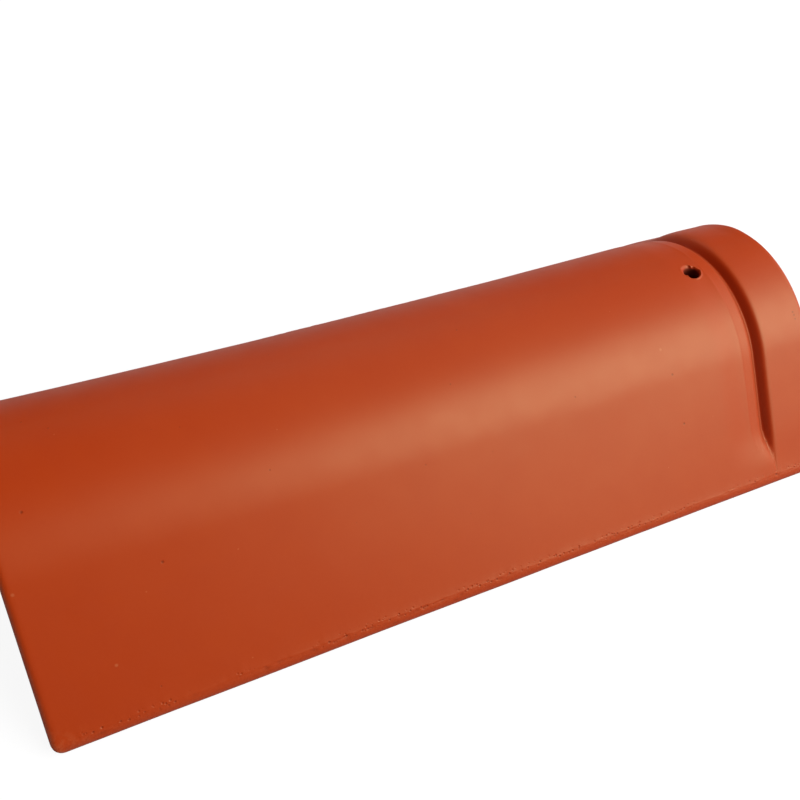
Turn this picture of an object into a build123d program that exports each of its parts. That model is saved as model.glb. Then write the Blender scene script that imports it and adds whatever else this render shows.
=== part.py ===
from build123d import *
import math
import os

# One fired clay ridge tile, as it lies on its two long feet on a level floor.
# +X runs along the ridge to the head end, +Y runs across and +Z is up from the floor.
# The origin is on the floor under the middle of the tile.
# Sizes are millimetres and angles are degrees.

# Arch
length = 400.0            # tail end to head end
height = 81.0             # crown above the floor
foot_spread = 197.0       # between the outer corners of the feet before they are rounded
crown_radius = 63.5       # outside of the rounded crown
wall = 13.0               # thickness of the clay

# Rounded arrises
foot_nose = 5.0           # outer arris of each foot
foot_heel = 3.2           # inner arris of each foot
end_arris = 2.8           # outer and inner arrises of the two ends

# Groove that crosses the tile near its head end and fades out above each foot
groove_from_head = 33.8   # head end to the lowest line of the groove
groove_depth = 3.7        # outside of the tile to the lowest line
groove_tail_side = 7.2    # width of the gentle slope on the tail side of the lowest line
groove_head_side = 3.7    # width of the steep slope on the head side
floor_round = 1.2         # rounding along the lowest line
tail_rim_round = 6.0      # rounding where the gentle slope starts
head_rim_round = 3.5      # rounding along the steep slope's rim
rim_exit_angle = 8.0      # angle at which the rounded rims run out on the outside
groove_fade = 24.0        # length over which the groove lifts out of each side
groove_foot_gap = 9.5     # end of the groove, measured up the side from the corner of the foot

# Nail hole through the crown
nail_hole_from_head = 49.8
nail_hole_radius = 4.0
nail_mouth_radius = 5.3
nail_mouth_depth = 2.4

os.makedirs("parts", exist_ok=True)

# The straight sides leave the crown arc at side_angle from its top and touch it there.
crown_centre = height - crown_radius
foot_corner = foot_spread / 2
corner_reach = math.hypot(foot_corner, crown_centre)
side_length = math.sqrt(corner_reach**2 - crown_radius**2)
side_angle = 90 + math.degrees(
    math.atan2(crown_centre, foot_corner) - math.acos(crown_radius / corner_reach)
)
head_x = length / 2
groove_x = head_x - groove_from_head
nail_x = head_x - nail_hole_from_head


def arch_face(radius, leg):
    """Area under an arch: a crown arc, two straight legs that touch it and a level base line."""
    crown = JernArc((0, crown_centre + radius), (1, 0), radius, -side_angle)
    side = Line(crown @ 1, crown @ 1 + (crown % 1) * leg)
    base = Line(side @ 1, (0, (side @ 1).Y))
    half = make_face([crown.edge(), side.edge(), base.edge(), Line(base @ 1, crown @ 0).edge()])
    return half + mirror(half, about=Plane.YZ)


def tile_section():
    """Section across the tile: an arch of even thickness on two flat feet with rounded arrises."""
    outside = arch_face(crown_radius, side_length)
    inside = arch_face(crown_radius - wall, side_length + wall)
    section = outside - inside
    feet = section.vertices().group_by(Axis.Y)[0].sort_by(Axis.X)
    section = fillet([feet[0], feet[-1]], foot_nose)
    heels = section.vertices().group_by(Axis.Y)[0].sort_by(Axis.X)
    return fillet([heels[1], heels[2]], foot_heel)


def groove_profile():
    """Profile of the cut, with x along the tile and y out of its outside face."""
    run_out = 6.0
    exit_rise = run_out * math.tan(math.radians(rim_exit_angle)) / 2
    tail_end = (-groove_tail_side - run_out, exit_rise)
    tail_rim = (-groove_tail_side, -exit_rise)
    lowest = (0, -groove_depth)
    head_rim = (groove_head_side, -exit_rise)
    head_end = (groove_head_side + run_out, exit_rise)
    lid = 2 * groove_depth
    outline = Polyline(
        tail_end, tail_rim, lowest, head_rim, head_end,
        (head_end[0], lid), (tail_end[0], lid), close=True,
    )
    profile = make_face(outline.edges())
    roundings = [(tail_rim, tail_rim_round), (lowest, floor_round), (head_rim, head_rim_round)]
    for corner, radius in roundings:
        profile = fillet(profile.vertices().sort_by_distance(corner)[0], radius)
    return profile


def groove_cutter():
    """The groove's profile turned over the crown, run down each side and lifted out along its steep slope."""
    at_top = Plane(origin=(groove_x, 0, height), x_dir=(1, 0, 0), z_dir=(0, -1, 0))
    crown_axis = Axis((groove_x, 0, crown_centre), (1, 0, 0))
    profile = at_top * groove_profile()
    over_crown = revolve(profile, axis=crown_axis, revolution_arc=side_angle)

    straight = side_length - groove_foot_gap - groove_fade
    down = Plane(
        origin=Vector(groove_x, 0, crown_centre) + Vector(0, 0, crown_radius).rotate(Axis.X, side_angle),
        x_dir=(1, 0, 0),
        z_dir=Vector(0, -1, 0).rotate(Axis.X, side_angle),
    )
    down_side = extrude(down * groove_profile(), straight)

    lift = math.hypot(groove_depth, groove_head_side)
    fade_radius = (groove_fade**2 + lift**2) / (2 * lift)
    past_end = 1.3
    fade_angle = past_end * math.degrees(math.asin(groove_fade / fade_radius))
    lift_out = down.offset(straight)
    towards = (lift_out.x_dir * groove_head_side + lift_out.y_dir * groove_depth).normalized()
    turn = Axis(lift_out.origin + towards * fade_radius, lift_out.z_dir.cross(towards))
    fade = revolve(lift_out * groove_profile(), axis=turn, revolution_arc=fade_angle)
    half = over_crown + down_side + fade
    return half + mirror(half, about=Plane.XZ)


def nail_hole():
    """Round hole down through the crown with a cone-shaped mouth."""
    shank = Pos(nail_x, 0, height) * Cylinder(nail_hole_radius, 4 * wall)
    flare = nail_mouth_radius - nail_hole_radius
    mouth = Pos(nail_x, 0, height) * Cone(
        nail_hole_radius, nail_mouth_radius + flare, 2 * nail_mouth_depth
    )
    return shank + mouth


tile = extrude(Plane.YZ.offset(-length / 2) * tile_section(), length)
ends = tile.faces().filter_by(Axis.X).sort_by(Axis.X)
tile = fillet(ends[0].edges() + ends[-1].edges(), end_arris)
tile = tile - groove_cutter() - nail_hole()

tile.label = "ridge_tile"
export_step(tile, "parts/ridge_tile.step")
print("ridge tile volume", round(tile.volume), "cubic millimetres, valid", tile.is_valid)
print("side angle", round(side_angle, 2), "side length", round(side_length, 2))
print("box", tile.bounding_box())
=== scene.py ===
# %% [markdown]
# # A clay ridge tile
# The object is one piece of red clay that was pressed in a mould, trimmed, dried and fired.
# It lies on its two long feet and covers the ridge of a roof. This lesson builds its skin as
# one closed surface worked out with numpy, gives it a fired clay finish, and lights it softly.
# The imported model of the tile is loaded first. It fixes the size and place of everything.

# %% Load the frame
import math

import bmesh
import bpy
import numpy as np
from mathutils import Matrix, Vector


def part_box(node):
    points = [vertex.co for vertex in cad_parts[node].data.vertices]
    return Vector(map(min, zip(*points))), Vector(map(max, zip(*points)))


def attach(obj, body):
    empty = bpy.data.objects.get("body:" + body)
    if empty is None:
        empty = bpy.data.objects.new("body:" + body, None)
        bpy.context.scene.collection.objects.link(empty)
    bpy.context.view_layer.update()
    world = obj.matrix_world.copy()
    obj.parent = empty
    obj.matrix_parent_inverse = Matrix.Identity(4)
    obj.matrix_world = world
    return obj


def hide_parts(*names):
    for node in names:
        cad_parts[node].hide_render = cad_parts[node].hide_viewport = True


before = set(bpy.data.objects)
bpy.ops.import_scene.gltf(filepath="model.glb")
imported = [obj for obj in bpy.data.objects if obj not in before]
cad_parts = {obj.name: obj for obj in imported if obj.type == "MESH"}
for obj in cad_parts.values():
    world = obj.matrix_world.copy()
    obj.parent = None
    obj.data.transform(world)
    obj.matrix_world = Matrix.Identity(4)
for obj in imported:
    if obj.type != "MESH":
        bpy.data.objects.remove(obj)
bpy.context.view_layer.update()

# %% [markdown]
# ## Sizes
# A maker gives a tile by the drawing of its section and a few lengths, and all of them are
# written here once, in millimetres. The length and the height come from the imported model's
# own box, so the skin can't drift away from it.

# %% Driving sizes
MM = 0.001
low, high = (np.array(corner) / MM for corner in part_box("ridge_tile"))
length = high[0] - low[0]
half = length / 2
end_height = high[2]
foot_spread = 197.0       # between the feet's outer corners before they are rounded
crown_radius = 63.5
wall = 13.0
saddle = 3.3              # the crown is this much lower at mid-length than at its ends

foot_nose = 5.0           # rounding of each foot's outer corner
foot_heel = 3.2           # rounding of its inner corner
tail_arris = 3.2          # rounding of the tail end
head_arris = 2.7          # rounding of the head end
corner_round = 8.5        # rounding of each side's corners, where an end meets a foot
print("tile", round(length, 1), "long and", round(end_height, 1), "high")

# %% [markdown]
# ## The section
# The section is a round crown on two straight sides. It could be drawn as a curve and
# extruded, but this crown is a little lower at mid-length, which is taken to be sag from the
# kiln, so the section changes along the tile. A formula handles that: each row along the tile
# has its own height, and the sides lean out just enough to touch the crown and reach the feet.

# %% How many points each stretch of half a section gets
patch = 7.2               # half the side of the square of skin around the nail hole
patch_steps, crown_steps, side_steps, toe_steps = 9, 20, 16, 9
nose_steps, flat_steps, heel_steps = 11, 3, 5
crown_count = 1 + patch_steps + crown_steps
outside_count = crown_count + side_steps + toe_steps + nose_steps
print("points on the outside of half a section", outside_count)


def steps(count):
    """Evenly spaced fractions: 1, 2 and so on up to count, all divided by count."""
    return np.arange(1, count + 1) / count


# %% Half of the section, for every row at once
def half_section(height):
    """Half of the closed outline for each row's crown height.

    The lean of the sides is the angle at which a line from the foot corner touches the crown
    circle: a quarter turn, plus the corner's angle from the circle's centre, minus the angle
    whose cosine is radius over distance. Points on the crown are centre + radius (sin a, cos a),
    and points on the side run on from there along (cos lean, -sin lean). The foot is three
    stretches, a nose arc, a flat and a heel arc, and the inside repeats the outside one wall
    thickness further in. The middle line of the wall lies half a wall inside the outline, and
    stays at one point around the foot. The function gives y, z and the outward normal's angle
    from upright, and then the middle line's y and z.
    """
    h = np.asarray(height, float)[:, None]
    corner = foot_spread / 2
    centre = h - crown_radius
    reach = np.hypot(corner, centre)
    side = np.sqrt(reach**2 - crown_radius**2)
    lean = np.pi / 2 + np.arctan2(centre, corner) - np.arccos(crown_radius / reach)
    nose_cut = foot_nose / np.tan(lean / 2)
    heel_cut = foot_heel * np.tan(lean / 2)
    nose_y = corner - nose_cut
    heel_y = corner - wall / np.sin(lean) + heel_cut
    inner_side = side - wall / np.tan(lean) - heel_cut
    outer_side = side - nose_cut
    patch_angle = patch / crown_radius
    angle = np.hstack([
        np.zeros_like(h), patch_angle * steps(patch_steps) * np.ones_like(h),
        patch_angle + (lean - patch_angle) * steps(crown_steps),
    ])

    def arc(radius, a):
        return radius * np.sin(a), centre + radius * np.cos(a)

    def run(radius, distance):
        y, z = arc(radius, lean)
        return y + distance * np.cos(lean), z - distance * np.sin(lean)

    down = np.hstack([inner_side * steps(side_steps),
                      inner_side + (outer_side - inner_side) * steps(toe_steps)])
    nose = lean + (np.pi - lean) * steps(nose_steps)
    flat = nose_y + (heel_y - nose_y) * steps(flat_steps)
    heel = np.pi + lean * steps(heel_steps)
    up = inner_side * (1 - steps(side_steps))
    back = angle[:, -2::-1]
    pieces = [
        (*arc(crown_radius, angle), angle),
        (*run(crown_radius, down), lean * np.ones_like(down)),
        (nose_y + foot_nose * np.sin(nose), foot_nose + foot_nose * np.cos(nose), nose),
        (flat, 0 * flat, np.pi + 0 * flat),
        (heel_y + foot_heel * np.sin(heel), foot_heel + foot_heel * np.cos(heel), heel),
        (*run(crown_radius - wall, up), np.pi + lean * np.ones_like(up)),
        (*arc(crown_radius - wall, back), np.pi + back),
    ]
    y, z, normal = (np.hstack([piece[k] for piece in pieces]) for k in range(3))
    middle_y = y - wall / 2 * np.sin(normal)
    middle_z = z - wall / 2 * np.cos(normal)
    foot = slice(crown_count + side_steps, y.shape[1] - crown_count - side_steps + 1)
    above = slice(foot.start - 1, foot.start)
    middle_y[:, foot], middle_z[:, foot] = middle_y[:, above], middle_z[:, above]
    return y, z, normal, middle_y, middle_z


# %% [markdown]
# ## The groove
# The next tile's tail drops into the groove and rests on the head band. From the tail side a
# gentle slope leads to a lip, where the clay falls to the groove's lowest line, and a steep wall
# climbs from there to the rim of the band. The groove fades out above each foot. It could be
# cut with a Boolean, but a height formula keeps the grid clean: each line is a softened corner
# that changes the slope.

# %% Sizes of the groove
groove_low_x = half - 33.4            # place of the lowest line
groove_depth = 4.0
groove_tail_side = 9.4                # start of the gentle slope to the lowest line
groove_lip_side = 2.4                 # lip to the lowest line
lip_depth = 1.8
groove_head_side = 3.1                # lowest line to the rim
start_bend, lip_bend, low_bend, rim_bend = 0.6, 0.45, 0.22, 0.75    # softness of each line

groove_ends = 110.5                   # end of the groove, measured around from the ridge
groove_fade = 14.0                    # length over which it fades out
fade_bend = 0.9
narrowest, shortest = 0.15, 0.35      # shares of the lip's and the slope's width at its ends
dip_from, dip = 140.0, 0.9            # the skin sinks a little before the gentle slope starts
bead, bead_width = 0.12, 0.7          # a thin line that the mould left where the slope starts

band_rise = 0.35                      # the head band stands this much above the skin
widening = 1.6                        # on the far side its rim leaves the groove by this much
over_from, over_run = -14.0, 50.0     # where that starts, around from the ridge, and its run
band_sag, band_bulge, band_hollow = 0.5, 0.6, 1.3     # how far the far half is out of true

crease_ends = 118.0                   # a thin crease runs on from the groove nearly to the foot
crease, crease_width, crease_fade = 0.3, 0.55, 3.0
pushed = 0.22                         # the clay beside the groove's end stands this much proud
print("groove is", groove_depth, "deep, and its lowest line is at x", round(groove_low_x, 1))


# %% Soft corners, steps and bells
def soft_ramp(x, width):
    """Zero before x = 0 and x after it: width times the log of 1 plus e to the x over width."""
    return width * np.logaddexp(0, x / width)


def smooth_step(x):
    """Zero below 0, one above 1, and 3x^2 - 2x^3 between."""
    x = np.clip(x, 0, 1)
    return x * x * (3 - 2 * x)


def bump_at(x, place, width):
    """A bell curve, exp(-((x - place) / width)^2)."""
    return np.exp(-((x - place) / width) ** 2)


# %% [markdown]
# ### The band and the groove as heights
# The far half of the head band isn't true. It sags a little, with a low bulge at its end and a
# hollow further down, which is taken to be unevenness of this one tile. Sculpting would show
# the same, but three smooth terms can be measured and changed.

# %% Height of the groove
def band_unevenness(x, around, rim):
    """How far the band is out of true, in millimetres, where around is positive.

    The sag is a smooth step past the rim times one around the crown. The bulge and the hollow
    are a smooth step along the tile times a bell curve around it.
    """
    sag = band_sag * smooth_step((x - rim - 6) / 20) * smooth_step((around - 6) / 24)
    bulge = band_bulge * smooth_step((x - half + 10) / 8) * bump_at(around, 26, 10)
    hollow = band_hollow * smooth_step((x - rim + 4) / 8) * bump_at(around, 67, 13)
    return bulge - sag - hollow


def groove(x, around):
    """Height of the skin at x along the tile and around millimetres from the ridge.

    What is left of the depth ramps down to zero at the groove's ends, where all its lines close
    up on the rim. Each slope is a height difference over the width between two lines. Past its
    ends there is a crease, and the clay that was pushed down beside it stands a little proud.
    """
    down = np.abs(around)
    over = smooth_step((around - over_from) / over_run)
    left = 1 - (soft_ramp(down - groove_ends + groove_fade, fade_bend)
                - soft_ramp(down - groove_ends, fade_bend)) / groove_fade
    sunk, edge, depth, rise = (left * size for size in (dip, lip_depth, groove_depth, band_rise))
    narrow = narrowest + (1 - narrowest) * left
    closed = groove_low_x + groove_head_side
    rim = closed + widening * over
    lowest = closed - groove_head_side * narrow
    lip = lowest - groove_lip_side * narrow
    start = lowest - groove_tail_side * (shortest + (1 - shortest) * left)
    gentle = (edge - sunk) / (lip - start)
    fall = (depth - edge) / (lowest - lip)
    steep = (depth + rise) / (rim - lowest)
    height = (-sunk * smooth_step((x - dip_from) / (start - dip_from))
              - gentle * soft_ramp(x - start, start_bend)
              - (fall - gentle) * soft_ramp(x - lip, lip_bend)
              + (fall + steep) * soft_ramp(x - lowest, low_bend)
              - steep * soft_ramp(x - rim, rim_bend * (1 + over)))
    height += bead * left * bump_at(x, start, bead_width)
    height += band_unevenness(x, around, rim)
    past = smooth_step((down - groove_ends + crease_fade) / crease_fade)
    past = past * (1 - smooth_step((down - crease_ends + crease_fade) / crease_fade))
    height -= crease * past * bump_at(x, rim + 0.2, crease_width)
    return height + pushed * bump_at(down, 112, 5.5) * bump_at(x, rim - 6.5, 4.0)


on_lowest_line = groove(groove_low_x, -30.0)
print("skin on the lowest line, 30 mm down the near side, is at", round(float(on_lowest_line), 2))

# %% [markdown]
# ## A hand-finished skin
# No fired tile is quite straight. The skin gets long low waves from drying and firing. The
# foot was trimmed with a wire, which left a thin burr along the side and a row of small tears
# where grains of grit dragged. Waves are sums of sines, and each tear is a narrow bell curve.

# %% Waves
rng = np.random.default_rng(7)


def draw_waves(shortest_wave, count=14):
    """Random directions, phases, and lengths of one to three times the shortest, of waves."""
    turn, phase = rng.uniform(0, 2 * np.pi, (2, count))
    size = 2 * np.pi / (shortest_wave * rng.uniform(1, 3, count))
    return size * np.cos(turn), size * np.sin(turn), phase


def waves(x, around, drawn):
    """Sum of sin(a x + b around + phase) over the drawn waves, kept within -1 and 1.

    The sum of n such sines seldom passes 1.6 times the square root of n, which becomes 1.
    """
    a, b, phase = drawn
    total = np.sin(x[..., None] * a + around[..., None] * b + phase).sum(axis=-1)
    return np.clip(total / (1.6 * np.sqrt(len(phase))), -1, 1)


warp, dents, rag = draw_waves(45.0), draw_waves(14.0), draw_waves(2.2)
warp_size, dent_size = 0.11, 0.018
inside_warp, inside_size = draw_waves(20.0), 0.3
print("the outside waves by", warp_size + dent_size, "mm and the inside by", inside_size, "mm")

# %% Burr and tears along the foot
trim_above = 1.2          # the trimming line lies this far above the foot's rounding
burr, burr_width = 0.16, 0.8
height_row, place_row = 40.0, 90.0    # rows of the waves that the burr's height and place follow
tear_count = 60
tear_reach = 9.0          # no tear reaches further than this from the trimming line


def draw_tears(count):
    """Places, half-widths and depths of the tears, more of them along the middle of the foot."""
    spread = rng.uniform(-half + 6, half - 6, count)
    crowded = np.clip(rng.normal(-55, 55, count), -half + 8, half - 30)
    x = np.where(rng.random(count) < 0.6, crowded, spread)
    down = 0.4 + np.abs(rng.normal(0, 1.5, count))
    along = rng.uniform(0.8, 1.8, count)
    across = rng.uniform(0.4, 0.8, count)
    depth = rng.uniform(0.1, 0.35, count)
    return x, down, along, across, depth


tears = {side: draw_tears(tear_count) for side in (1, -1)}


def torn(x, below, side):
    """Depth of the tears on one side: at each point, the deepest of all their bell curves."""
    near = np.abs(below[0]) < tear_reach
    depth = np.zeros(below.shape)
    for place, down, along, across, deep in zip(*tears[side]):
        bell = deep * bump_at(x[:, near], place, along) * bump_at(below[:, near], down, across)
        depth[:, near] = np.maximum(depth[:, near], bell)
    return depth


def trim_burr(x, below, side):
    """Ragged thin ridge where the wire left the side: a bell curve with a wavy height and place."""
    ragged = 0.55 + 0.45 * waves(x, height_row * side + 0 * x, rag)
    place = 0.4 * waves(x, place_row * side + 0 * x, dents)
    return burr * ragged * bump_at(below, place, burr_width)


def relief(x, around):
    """Height of the outside before its foot is trimmed: groove, long waves and dents."""
    level = warp_size * waves(x, around, warp) + dent_size * waves(x, around, dents)
    return groove(x, around) + level


print("each foot has", tear_count, "tears, the deepest", max(tears[1][4]).round(2), "mm")

# %% [markdown]
# ## The grid
# The skin is a grid. One direction goes once around the section, and the other goes along
# the tile: from the middle of the tail end's wall out to its rounded arris, along the body,
# and back to the middle of the head end's wall. Rows are close together at the arrises and
# in the groove, where the shape changes fast.

# %% Rows along the tile
def stretch(start, end, spacing):
    """Places from start to end, without the start, about one spacing apart."""
    return start + (end - start) * steps(max(1, round(abs(end - start) / spacing)))


hole_from_head = 49.8
hole_x = half - hole_from_head
groove_to = groove_low_x + 9.0        # the close rows of the groove end here
wide_rows, close_rows = 1.15, 0.45
arris_steps, end_steps = 6, 4

patch_x = hole_x + patch * (np.arange(2 * patch_steps + 1) / patch_steps - 1)
body_x = np.hstack([
    -half + tail_arris,
    stretch(-half + tail_arris, patch_x[0], wide_rows),
    patch_x[1:],
    stretch(patch_x[-1], groove_to, close_rows),
    stretch(groove_to, half - head_arris, wide_rows),
])
turn = np.pi / 2 * steps(arris_steps)
arris_x, arris_in = 1 - np.sin(turn), 1 - np.cos(turn)
to_middle = steps(end_steps)

row_x = np.hstack([
    np.full(end_steps, -half), (-half + tail_arris * arris_x)[::-1], body_x,
    half - head_arris * arris_x, np.full(end_steps, half),
])
row_inset = np.hstack([
    np.full(end_steps, tail_arris), tail_arris * arris_in[::-1], 0 * body_x,
    head_arris * arris_in, np.full(end_steps, head_arris),
])
row_middle = np.hstack([to_middle[::-1], 0 * turn, 0 * body_x, 0 * turn, to_middle])
row_height = end_height - saddle * (1 - (row_x / half) ** 2)
print("rows along the tile", len(row_x))

# %% [markdown]
# ### From rows to points
# Every row is the same section at its own height, so the whole grid comes out of one call. Each
# point then moves along its own outward normal: out by the relief and in at the arrises. A
# Displace modifier could do it too, but here the numbers that the clay's finish needs, such as
# how torn a point is, come out of the same sums.

# %% The outline of every row
y, z, normal, middle_y, middle_z = half_section(row_height)
outward_y, outward_z = np.sin(normal), np.cos(normal)
around = np.zeros_like(y)
around[:, 1:] = np.cumsum(np.hypot(np.diff(y), np.diff(z)), axis=1)
x_grid = row_x[:, None] + 0 * y
is_outside = np.arange(y.shape[1]) < outside_count
is_inside = np.arange(y.shape[1]) >= y.shape[1] - crown_count - side_steps
on_skin = (row_middle == 0)[:, None]
nose_column = crown_count + side_steps + toe_steps - 1
below = around - around[:, nose_column:nose_column + 1] + trim_above
print("outside of half a section is", round(float(around[0, outside_count - 1]), 1), "mm around")

# %% Points of the skin
finish_names = ("below_trim", "torn", "painted_shade", "rubbed", "on_lip")
wall_slope, wall_run = 0.3, 0.6       # painted shade goes on the groove's wall where it climbs this fast
lip_slope, lip_run = 0.3, 0.3         # painted shade also goes on the lip, where the skin falls this fast
rubbed_up, rubbed_in = 16.0, 20.0     # how far the rubbed corners reach up and along
corner_run = 18.0                     # how far along the rounding of a corner is spread


def share_past(value, start, run):
    """Zero up to the start, one past start + run, and straight between."""
    return np.clip(value - start, 0, run) / run


def half_points(side):
    """Points of one half, each with five numbers for its finish.

    They are how far it lies below the trimming line, how deep it is torn, how much painted shade
    it gets on the groove's steep wall where it climbs towards the head end, how rubbed, which is
    near the four corners, and whether it is on the lip or the fall past it, which is painted shade
    too.

    The outline is moved in at the arrises and out by the relief, along its own normal. Towards
    the two ends it is blended into the middle line of the wall, which closes the end faces. The
    corners are quarter circles: the ends draw back by the radius less the square root of the
    radius squared minus the square of the distance below it.
    """
    tear = torn(x_grid, below, side) * on_skin
    height = is_outside * (relief(x_grid, side * around) + trim_burr(x_grid, below, side) - tear)
    inside_run = side * (around[:, -1:] - around)
    height += is_inside * inside_size * waves(x_grid, inside_run, inside_warp)
    rows_apart = x_grid[:, 0] + 1e-6 * np.arange(len(row_x))
    climb = np.gradient(height, rows_apart, axis=0)
    painted_shade = share_past(climb, wall_slope, wall_run) * on_skin
    on_lip = share_past(-climb, lip_slope, lip_run) * is_outside * on_skin
    from_end = half - np.abs(x_grid)
    rubbed = smooth_step(1 - z / rubbed_up) * smooth_step(1 - from_end / rubbed_in)

    rise = height - row_inset[:, None]
    share = row_middle[:, None]
    py = (y + rise * outward_y) * (1 - share) + middle_y * share
    pz = (z + rise * outward_z) * (1 - share) + middle_z * share
    low_down = np.clip(corner_round - pz, 0, corner_round)
    cut = corner_round - np.sqrt(corner_round**2 - low_down**2)
    px = x_grid - np.sign(x_grid) * cut * (1 - smooth_step(from_end / corner_run))
    return np.stack([px, side * py, pz, below, tear, painted_shade, rubbed, on_lip], axis=-1)


left, right = half_points(1), half_points(-1)
ring = np.concatenate([left, right[:, -2:0:-1]], axis=1)
rows, columns = ring.shape[:2]
points, finish = ring[..., :3].reshape(-1, 3), ring[..., 3:].reshape(-1, len(finish_names))
print("grid", rows, "by", columns, "points")

# %% [markdown]
# ## The nail hole
# The hole was punched while the clay was soft, so it has a small flared mouth with a ragged
# rim. A Boolean would leave slivers in the grid. Instead a square patch of the grid is left out
# on the outside and on the inside, and rings of points lead from the one square, over the
# mouth, down the bore and out to the other square.

# %% Squares left out of the grid
index = np.arange(rows * columns).reshape(rows, columns)
first_row = int(np.argmin(np.abs(row_x - patch_x[0])))
last_row = first_row + 2 * patch_steps
inner_top = y.shape[1] - 1


def square(middle_column):
    """Indices around a square patch of the grid, anticlockwise from the +X side, seen from above."""
    across_y = (middle_column + np.arange(-patch_steps, patch_steps + 1)) % columns
    if middle_column != 0:
        across_y = across_y[::-1]
    along_x = np.arange(first_row, last_row + 1)
    return np.concatenate([
        index[last_row, across_y[:-1]], index[along_x[:0:-1], across_y[-1]],
        index[first_row, across_y[:0:-1]], index[along_x[:-1], across_y[0]],
    ])


quads = np.stack([
    index[:-1], np.roll(index, -1, 1)[:-1], np.roll(index, -1, 1)[1:], index[1:],
], axis=-1)
keep = np.ones(quads.shape[:2], bool)
in_patch = np.arange(-patch_steps, patch_steps)
keep[first_row:last_row, in_patch % columns] = False
keep[first_row:last_row, (inner_top + in_patch) % columns] = False
quads = quads[keep]
print("grid faces kept", len(quads))

# %% Helpers for the rings of the nail hole
top_square, low_square = square(0), square(inner_top)
top_edge, low_edge = points[top_square], points[low_square]
bearing = np.arctan2(top_edge[:, 1], top_edge[:, 0] - hole_x)
circle = np.stack([np.cos(bearing), np.sin(bearing)], axis=-1)
print("each ring of the hole has", len(circle), "points")


def skin_height(px, py):
    """Heights of the outside and the inside over a place: the crown circle plus the relief."""
    top = end_height - saddle * (1 - (px / half) ** 2)
    inner_radius = crown_radius - wall
    arc, inner_arc = (radius * np.arcsin(py / radius) for radius in (crown_radius, inner_radius))
    outside = top - crown_radius + np.sqrt(crown_radius**2 - py**2)
    inside = top - crown_radius + np.sqrt(inner_radius**2 - py**2)
    inside -= inside_size * waves(px, inner_arc, inside_warp)
    return outside + relief(px, arc), inside


def hole_ring(radius, share, slip=0.0, raised=0.0):
    """One ring of the hole: share 0 is on the outside of the wall and share 1 on the inside.

    Slip moves the ring sideways along (0.8, -0.6), and raised lifts it straight up.
    """
    px = hole_x + radius * circle[:, 0] + 0.8 * slip
    py = radius * circle[:, 1] - 0.6 * slip
    top, low = skin_height(px, py)
    return np.stack([px, py, top + (low - top) * share + raised], axis=-1)


def around_hole(lumps):
    """Sum of bell curves around the hole, each a bearing and a width in degrees and a size."""
    total = np.zeros_like(bearing)
    for degrees, width, size in lumps:
        away = (np.degrees(bearing) - degrees + 180) % 360 - 180
        total += size * bump_at(away, 0.0, width)
    return total


# %% [markdown]
# ### The ragged rim
# The punch tore the clay instead of cutting it, so the rim is never a circle. A few sines make
# it ragged, two tongues of clay lean in over the bore, and burrs stand up where the punch came
# out. Modelling each by hand would look as good, but a short table of bearings is easy to change.

# %% Rings of the nail hole
hole_radius = 4.0
mouth_radius = 5.3
mouth_depth = 1.6
slip = 0.9                # the punch leaned a little, so the bore isn't under the mouth's middle
tongues = ((55, 9, 1.1), (215, 16, 0.7))
burrs = ((285, 22, 0.50), (332, 20, 0.60), (213, 13, 0.40), (62, 8, 0.30), (140, 25, 0.10))
ragged = sum(rng.uniform(0.02, 0.07) * np.sin(k * bearing + rng.uniform(0, 2 * np.pi))
             for k in range(3, 10))
mouth = mouth_radius + ragged - around_hole(tongues)
burr_up = around_hole(burrs)
pushed_out = 0.5 + 4 * ragged         # clay that the punch pushed out on the inside
outer_reach = np.hypot(top_edge[:, 0] - hole_x, top_edge[:, 1])
inner_reach = np.hypot(low_edge[:, 0] - hole_x, low_edge[:, 1])
bore_from = mouth_depth / wall
approach = mouth + 1.3

rings = []
for share in steps(3):
    rings.append(hole_ring(outer_reach + (approach - outer_reach) * share, 0.0))
for back, up in ((0.7, 0.1), (0.42, 0.85), (0.15, 1.0), (0.0, 0.6)):
    rings.append(hole_ring(mouth + back, 0.0, raised=up * burr_up))
mouth_ring = len(rings)
for share in steps(5):
    flare = mouth + (hole_radius - mouth) * share**0.8
    burr_left = 0.4 * burr_up * (1 - share)
    rings.append(hole_ring(flare, bore_from * share**1.3, slip * share, burr_left))
for share in steps(8):
    rings.append(hole_ring(hole_radius, bore_from + (1 - bore_from) * share, slip))
bore_end = len(rings)
for back, down in ((0.3, 1.0), (0.8, 0.8), (1.5, 0.25)):
    rings.append(hole_ring(hole_radius + back, 1.0, slip, -down * pushed_out))
rings.append(hole_ring(0.45 * (hole_radius + 1.5) + 0.55 * inner_reach, 1.0))
rings = np.stack(rings)
print("the hole has", len(rings), "rings, and its bore is", 2 * hole_radius, "mm across")

# %% Join the hole to the grid
ring_index = len(points) + np.arange(rings.shape[0] * rings.shape[1]).reshape(rings.shape[:2])
ladder = np.vstack([top_square[None], ring_index, low_square[None]])
bore_quads = np.stack([
    ladder[:-1], ladder[1:], np.roll(ladder, -1, 1)[1:], np.roll(ladder, -1, 1)[:-1],
], axis=-1).reshape(-1, 4)

ring_number = np.arange(len(rings))
in_bore = np.clip((ring_number - mouth_ring) / 4, 0, 1) * (ring_number < bore_end)
ring_finish = np.zeros((*rings.shape[:2], len(finish_names)))
ring_finish[..., finish_names.index("below_trim")] = -100.0
# painted shade for the bore of the nail hole: two all down the bore, fading in from its mouth
ring_finish[..., finish_names.index("painted_shade")] = 2 * in_bore[:, None]

all_points = np.vstack([points, rings.reshape(-1, 3)])
all_quads = np.vstack([quads, bore_quads])
all_finish = np.vstack([finish, ring_finish.reshape(-1, len(finish_names))])
print("skin has", len(all_points), "points and", len(all_quads), "faces")
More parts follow.
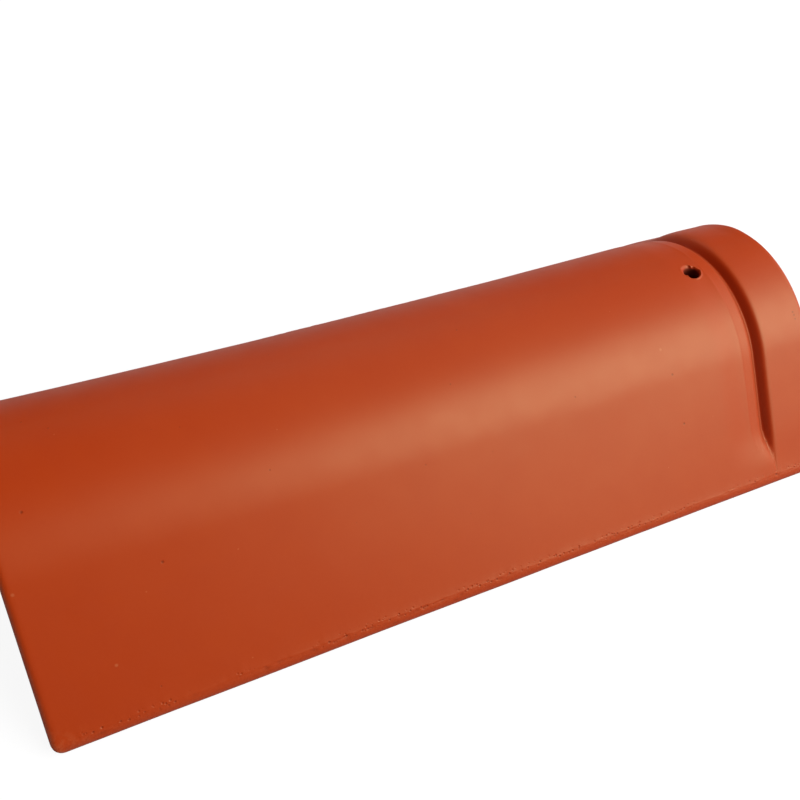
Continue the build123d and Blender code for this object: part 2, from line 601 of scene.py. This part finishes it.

# %% [markdown]
# ## Into a mesh
# The points go into Blender's mesh in metres. Five numbers go along with each point for the
# material to read: how far it lies below the trimming line, how torn, how much painted shade
# it gets, how rubbed and whether it is on the groove's lip. Where the end faces close along the
# middle of the wall, points fall on each other, so they are merged, and bmesh then makes every
# face point outwards.

# %% Make the tile
def make_mesh(name, vertices, faces, attributes):
    """A mesh object at the origin from arrays of millimetre points and four-cornered faces."""
    mesh = bpy.data.meshes.new(name)
    mesh.from_pydata((vertices * MM).tolist(), [], faces.tolist())
    for label, values in attributes.items():
        mesh.attributes.new(label, "FLOAT", "POINT").data.foreach_set("value", values)
    work = bmesh.new()
    work.from_mesh(mesh)
    bmesh.ops.remove_doubles(work, verts=work.verts, dist=1e-6)
    bmesh.ops.dissolve_degenerate(work, edges=work.edges, dist=1e-7)
    bmesh.ops.recalc_face_normals(work, faces=work.faces)
    open_edges = sum(not edge.is_manifold for edge in work.edges)
    print(name, "has", len(work.faces), "faces,", open_edges, "open edges and",
          round(work.calc_volume(signed=True) * 1e6, 1), "cubic centimetres")
    work.to_mesh(mesh)
    work.free()
    mesh.shade_smooth()
    made = bpy.data.objects.new(name, mesh)
    bpy.context.scene.collection.objects.link(made)
    return made


tile = make_mesh("ridge_tile_skin", all_points, all_quads,
                 {name: all_finish[:, k] for k, name in enumerate(finish_names)})

# %% [markdown]
# ## Fired clay
# Red clay is fired to a smooth, nearly matt skin. The material could be painted, but a painted
# picture stretches over the arrises, so it is made from noise on Object coordinates instead.
# The patterns then run through the clay in real millimetres. First come a few helpers, each
# of which adds one kind of node.

# %% Clay material and its helpers
clay = bpy.data.materials.new("fired clay")
clay.use_nodes = True
nodes, links = clay.node_tree.nodes, clay.node_tree.links
shader = nodes["Principled BSDF"]
place = nodes.new("ShaderNodeTexCoord").outputs["Object"]


def noise(size, detail=2.0):
    """Cloudy noise from 0 to 1 whose blobs are about size millimetres across."""
    made = nodes.new("ShaderNodeTexNoise")
    made.inputs["Scale"].default_value = 1 / (size * MM)
    made.inputs["Detail"].default_value = detail
    links.new(place, made.inputs["Vector"])
    return made.outputs["Fac"]


def span(value, low_in, high_in, low_out=0.0, high_out=1.0):
    """The value moved from one range to another and kept within it."""
    made = nodes.new("ShaderNodeMapRange")
    links.new(value, made.inputs["Value"])
    for socket, number in zip(("From Min", "From Max", "To Min", "To Max"),
                              (low_in, high_in, low_out, high_out)):
        made.inputs[socket].default_value = number
    return made.outputs["Result"]


def combine(operation, first, second):
    """Math node of two sockets, or of a socket and a number."""
    made = nodes.new("ShaderNodeMath")
    made.operation = operation
    for socket, value in zip(made.inputs, (first, second)):
        if isinstance(value, (int, float)):
            socket.default_value = value
        else:
            links.new(value, socket)
    return made.outputs["Value"]


def times(first, second):
    """The product of two sockets, or of a socket and a number."""
    return combine("MULTIPLY", first, second)


def tint(share, under, over):
    """Colour that goes from under to over as the share goes from 0 to 1."""
    made = nodes.new("ShaderNodeMix")
    made.data_type = "RGBA"
    links.new(share, made.inputs["Factor"])
    for socket, value in ((made.inputs["A"], under), (made.inputs["B"], over)):
        if isinstance(value, tuple):
            socket.default_value = (*value, 1.0)
        else:
            links.new(value, socket)
    return made.outputs["Result"]


def stored(label):
    """A number that was stored with each point of the mesh."""
    made = nodes.new("ShaderNodeAttribute")
    made.attribute_name = label
    return made.outputs["Fac"]


print("material", clay.name, "has its helpers")

# %% [markdown]
# ### Colour
# The colour comes from iron and changes very little over the tile: wide soft patches where the
# fire touched it, smaller blotches and clouds, and fine sand in the body. The trimmed foot is a
# little redder, because the wire opened the skin, and reads the numbers that were stored with
# the points. So do three places that get painted shade: the groove's steep wall, the fall past
# its lip and the bore of the nail hole, which are darkened as if they were out of the light.

# %% Colours of the clay
body = (0.418, 0.0355, 0.0022)
redder = (0.402, 0.0305, 0.0018)
paler = (0.426, 0.0390, 0.0030)
# painted shade: the darker colour of the groove's steep wall, which faces away from the light
deep = (0.395, 0.0220, 0.0008)
grit = (0.56, 0.16, 0.06)
open_clay = (0.27, 0.022, 0.002)
pit = (0.14, 0.010, 0.001)
# painted shade: the fall past the groove's lip, darkened as if it were out of the light
lip_shade_colour = (0.30, 0.026, 0.0015)
# painted shade: the bore of the nail hole, darkened as if no light reached into it
bore_shade_colour = (0.13, 0.005, 0.0005)

patches = span(noise(70, 1.0), 0.35, 0.65)
blotches = span(noise(22, 1.0), 0.35, 0.65)
clouds = span(noise(9, 2.0), 0.3, 0.7)
sand = span(noise(1.3, 2.0), 0.3, 0.7)
trimmed = span(stored("below_trim"), 0.0, 1.2)
opened = span(stored("torn"), 0.06, 0.3)
# painted shade, up to one on the groove's steep wall and from one to two in the bore of the hole
painted_shade = stored("painted_shade")
bore_shade = span(painted_shade, 1.0, 2.0)
on_lip = stored("on_lip")

# The last three tints of this loop are painted shade: on the groove's steep wall, on the fall past
# its lip and in the bore.
colour = body
for mask, over in (
        (times(patches, 0.8), paler), (times(blotches, 0.4), redder),
        (times(clouds, 0.4), redder), (times(sand, 0.3), paler),
        (times(trimmed, 0.15), redder), (times(opened, 0.6), open_clay),
        (span(painted_shade, 0.0, 1.0), deep), (on_lip, lip_shade_colour), (bore_shade, bore_shade_colour)):
    colour = tint(mask, colour, over)
print("clay nodes so far", len(nodes))

# %% [markdown]
# ### Small marks
# A close look at fired clay finds pinholes, pale grains of grit, nicks where the wire dragged
# grains along the trimming line, and corners rubbed pale by handling. Most are scattered by a
# Voronoi pattern, which is cheap. A few stand alone at places of their own.

# %% Pinholes, grit, nicks and rubbed corners
def dots(cell, size):
    """Mask of scattered round dots, one at most in each cell, from the distance to cell seeds."""
    made = nodes.new("ShaderNodeTexVoronoi")
    made.inputs["Scale"].default_value = 1 / (cell * MM)
    links.new(place, made.inputs["Vector"])
    return span(made.outputs["Distance"], size / cell, 0.4 * size / cell)


def marks(spots, size):
    """Mask of single round dots at places given in millimetres."""
    nearest = None
    for spot in spots:
        made = nodes.new("ShaderNodeVectorMath")
        made.operation = "DISTANCE"
        links.new(place, made.inputs[0])
        made.inputs[1].default_value = [number * MM for number in spot]
        away = made.outputs["Value"]
        nearest = away if nearest is None else combine("MINIMUM", nearest, away)
    return span(nearest, size * MM, 0.4 * size * MM)


pinhole_places = [(-185.0, -25.3, 75.2), (-140.5, -52.0, 52.8), (114.0, -44.6, 60.3),
                  (116.5, -62.0, 41.1), (169.5, -90.7, 9.0), (193.2, -36.0, 69.6),
                  (193.5, -37.4, 68.6), (193.6, -39.0, 67.3)]
grit_places = [(-196.0, -48.7, 58.1), (-168.0, -75.3, 26.7), (111.0, -34.1, 68.7)]
pinholes = combine("MAXIMUM", dots(14.0, 0.5), marks(pinhole_places, 0.8))
grains = combine("MAXIMUM", dots(17.0, 0.45), marks(grit_places, 0.9))

below_trim, corners = stored("below_trim"), stored("rubbed")
line = times(span(below_trim, -2.2, -0.4), span(below_trim, 2.2, 0.4))
crowds = times(span(noise(30, 1.0), 0.38, 0.5), span(combine("SUBTRACT", 1.0, corners), 0.8, 1.0))
nicks = times(dots(1.9, 0.68), times(line, crowds))
rubbed = times(corners, span(noise(4, 3.0), 0.48, 0.6))

for mask, over in ((times(rubbed, 0.4), grit), (times(nicks, 0.75), open_clay),
                   (times(grains, 0.4), grit), (times(pinholes, 0.6), pit)):
    colour = tint(mask, colour, over)
links.new(colour, shader.inputs["Base Color"])
print("marks at places of their own", len(pinhole_places) + len(grit_places))

# %% [markdown]
# ### Gloss and grain
# The body has a soft satin gloss. Trimmed and opened clay is rougher, and so are the fall past
# the lip and the bore of the hole, which carry painted shade. The grain is too fine to model,
# under two hundredths of a millimetre high on the body and two tenths deep in the nicks, so a
# Bump node shows it. The node's distance is one millimetre, which lets the heights below be read
# as millimetres.

# %% Roughness, in shares of 1
smoothest, roughest = 0.435, 0.465
rough = span(clouds, 0.0, 1.0, smoothest, roughest)
for mask, rise in ((trimmed, 0.07), (opened, 0.15), (bore_shade, 0.4), (on_lip, 0.3)):
    rough = combine("ADD", rough, times(mask, rise))
links.new(rough, shader.inputs["Roughness"])
warm_gloss = (1.0, 1.0, 0.56, 1)
shader.inputs["Specular Tint"].default_value = warm_gloss
print("roughness of the body is from", smoothest, "to", roughest)

# %% Grain of the skin, in millimetres of height
grain = combine("ADD", times(sand, 0.006), times(clouds, 0.012))
for mask, height in ((times(sand, trimmed), 0.05), (pinholes, -0.07), (nicks, -0.2),
                     (rubbed, 0.12)):
    grain = combine("ADD", grain, times(mask, height))
bump = nodes.new("ShaderNodeBump")
bump.inputs["Distance"].default_value = MM
links.new(grain, bump.inputs["Height"])
links.new(bump.outputs["Normal"], shader.inputs["Normal"])
tile.data.materials.append(clay)

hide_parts("ridge_tile")
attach(tile, "root")
print("clay nodes", len(nodes))

# %% [markdown]
# ## The floor
# The tile lies on a plain white studio floor. The camera sees the floor mostly by its own glow,
# so the ground is white and still carries the tile's soft shadow. The clay itself gets the
# light that a mid-grey floor would throw back, which keeps its lower edges dark. Further out
# the glow takes over, so the floor runs into the white backdrop without a line.

# %% Floor
floor_reach = 3.0
real_grey, shown_grey = 0.4, 0.12
glow_from, glow_to = 0.5, 2.2         # metres from the tile's middle
glow_near, glow_far = 0.92, 1.0
floor_corners = [(-floor_reach, -floor_reach, 0), (floor_reach, -floor_reach, 0),
                 (floor_reach, floor_reach, 0), (-floor_reach, floor_reach, 0)]
floor_mesh = bpy.data.meshes.new("floor")
floor_mesh.from_pydata(floor_corners, [], [(0, 1, 2, 3)])
floor = bpy.data.objects.new("floor", floor_mesh)
bpy.context.scene.collection.objects.link(floor)

paint = bpy.data.materials.new("pale floor")
paint.use_nodes = True
floor_nodes, floor_links = paint.node_tree.nodes, paint.node_tree.links


def floor_shader(grey):
    """Matt paint of the given greyness."""
    made = floor_nodes.new("ShaderNodeBsdfPrincipled")
    made.inputs["Base Color"].default_value = (grey, grey, grey, 1)
    made.inputs["Roughness"].default_value = 0.9
    made.inputs["Specular IOR Level"].default_value = 0.0
    return made


real, shown = floor_shader(real_grey), floor_shader(shown_grey)
spot = floor_nodes.new("ShaderNodeTexCoord").outputs["Object"]
away = floor_nodes.new("ShaderNodeVectorMath")
away.operation = "LENGTH"
glow = floor_nodes.new("ShaderNodeMapRange")
for name, number in (("From Min", glow_from), ("From Max", glow_to),
                     ("To Min", glow_near), ("To Max", glow_far)):
    glow.inputs[name].default_value = number
shown.inputs["Emission Color"].default_value = (1, 1, 1, 1)
floor_links.new(spot, away.inputs[0])
floor_links.new(away.outputs["Value"], glow.inputs["Value"])
floor_links.new(glow.outputs["Result"], shown.inputs["Emission Strength"])

path = floor_nodes.new("ShaderNodeLightPath")
pick = floor_nodes.new("ShaderNodeMixShader")
floor_links.new(path.outputs["Is Camera Ray"], pick.inputs["Fac"])
floor_links.new(real.outputs["BSDF"], pick.inputs[1])
floor_links.new(shown.outputs["BSDF"], pick.inputs[2])
floor_links.new(pick.outputs[0], floor_nodes["Material Output"].inputs["Surface"])
floor_mesh.materials.append(paint)
print("floor is", 2 * floor_reach, "m across")

# %% [markdown]
# ## The backdrop
# The backdrop is the world. The camera sees it white, and to the clay it is nearly dark, so
# that the lamps alone decide how the tile is lit.

# %% World
world = bpy.data.worlds.new("studio")
bpy.context.scene.world = world
world.use_nodes = True
world_nodes, world_links = world.node_tree.nodes, world.node_tree.links
faint, white = 0.03, 1.0


def background(strength):
    """A white world of the given strength."""
    made = world_nodes.new("ShaderNodeBackground")
    made.inputs["Color"].default_value = (1, 1, 1, 1)
    made.inputs["Strength"].default_value = strength
    return made.outputs["Background"]


world_seen = world_nodes.new("ShaderNodeLightPath").outputs["Is Camera Ray"]
world_pick = world_nodes.new("ShaderNodeMixShader")
world_links.new(world_seen, world_pick.inputs["Fac"])
world_links.new(background(faint), world_pick.inputs[1])
world_links.new(background(white), world_pick.inputs[2])
world_links.new(world_pick.outputs[0], world_nodes["World Output"].inputs["Surface"])
print("world strength is", faint, "for the clay and", white, "for the camera")

# %% [markdown]
# ## The light
# There is one big soft light over the head end, on the camera's right. It runs down the side
# as a broad satin highlight and leaves the groove's steep wall dark. A low pale card past the
# head end keeps a sheen on slopes that face it, and weak lamps above, behind and past the tail
# fill the rest. The weak ones are kept out of the gloss, so they add no highlights.

# %% Lamps
def lamp(name, place, target, width, height, power, roll=0.0, in_gloss=True):
    """A rectangular area lamp in metres and watts, aimed at a target and rolled about its aim."""
    data = bpy.data.lights.new(name, "AREA")
    data.shape = "RECTANGLE"
    data.size, data.size_y = width, height
    data.energy = power
    made = bpy.data.objects.new(name, data)
    bpy.context.scene.collection.objects.link(made)
    aim = (Vector(target) - Vector(place)).to_track_quat("-Z", "Y").to_matrix().to_4x4()
    made.matrix_world = Matrix.Translation(place) @ aim @ Matrix.Rotation(roll, 4, "Z")
    made.visible_glossy = in_gloss
    print("lamp", name, "of", power, "W")


tile_middle = (0, 0, 0.05)
lamp("key", (1.174, -1.134, 1.386), tile_middle, 1.6, 1.6, 52.6, -0.2)
lamp("over the head", (0.686, 0.35, 1.369), tile_middle, 2.0, 0.81, 9.5, -0.384, in_gloss=False)
lamp("card past the head", (1.9, 0.106, 0.82), (0, 0.106, 0.82), 1.03, 1.6, 7.6)
lamp("behind", (0.5, 1.6, 0.6), tile_middle, 1.2, 0.8, 10.0, in_gloss=False)
lamp("low at the tail", (-1.4, -0.2, 0.35), tile_middle, 1.2, 0.8, 3.0, in_gloss=False)

# %% [markdown]
# ## The camera
# The camera stands above the tail end and looks down across the ridge towards the groove. Its
# place and turns were worked out from the outline of the tile in the photo.

# %% Camera
picture_size = 800
focal_pixels = 903.77
camera_place = (-0.15658, -0.24367, 0.37916)
yaw, pitch, roll = (math.radians(angle) for angle in (59.1681, -49.9396, 8.3569))
camera_data = bpy.data.cameras.new("camera")
camera_data.sensor_width = 36.0
camera_data.lens = camera_data.sensor_width * focal_pixels / picture_size
camera = bpy.data.objects.new("camera", camera_data)
bpy.context.scene.collection.objects.link(camera)
camera.matrix_world = (
    Matrix.Translation(camera_place)
    @ Matrix.Rotation(yaw - math.pi / 2, 4, "Z")
    @ Matrix.Rotation(pitch + math.pi / 2, 4, "X")
    @ Matrix.Rotation(roll, 4, "Z")
)
bpy.context.scene.camera = camera
bpy.context.scene.view_settings.view_transform = "Standard"
print("lens", round(camera_data.lens, 2), "mm")
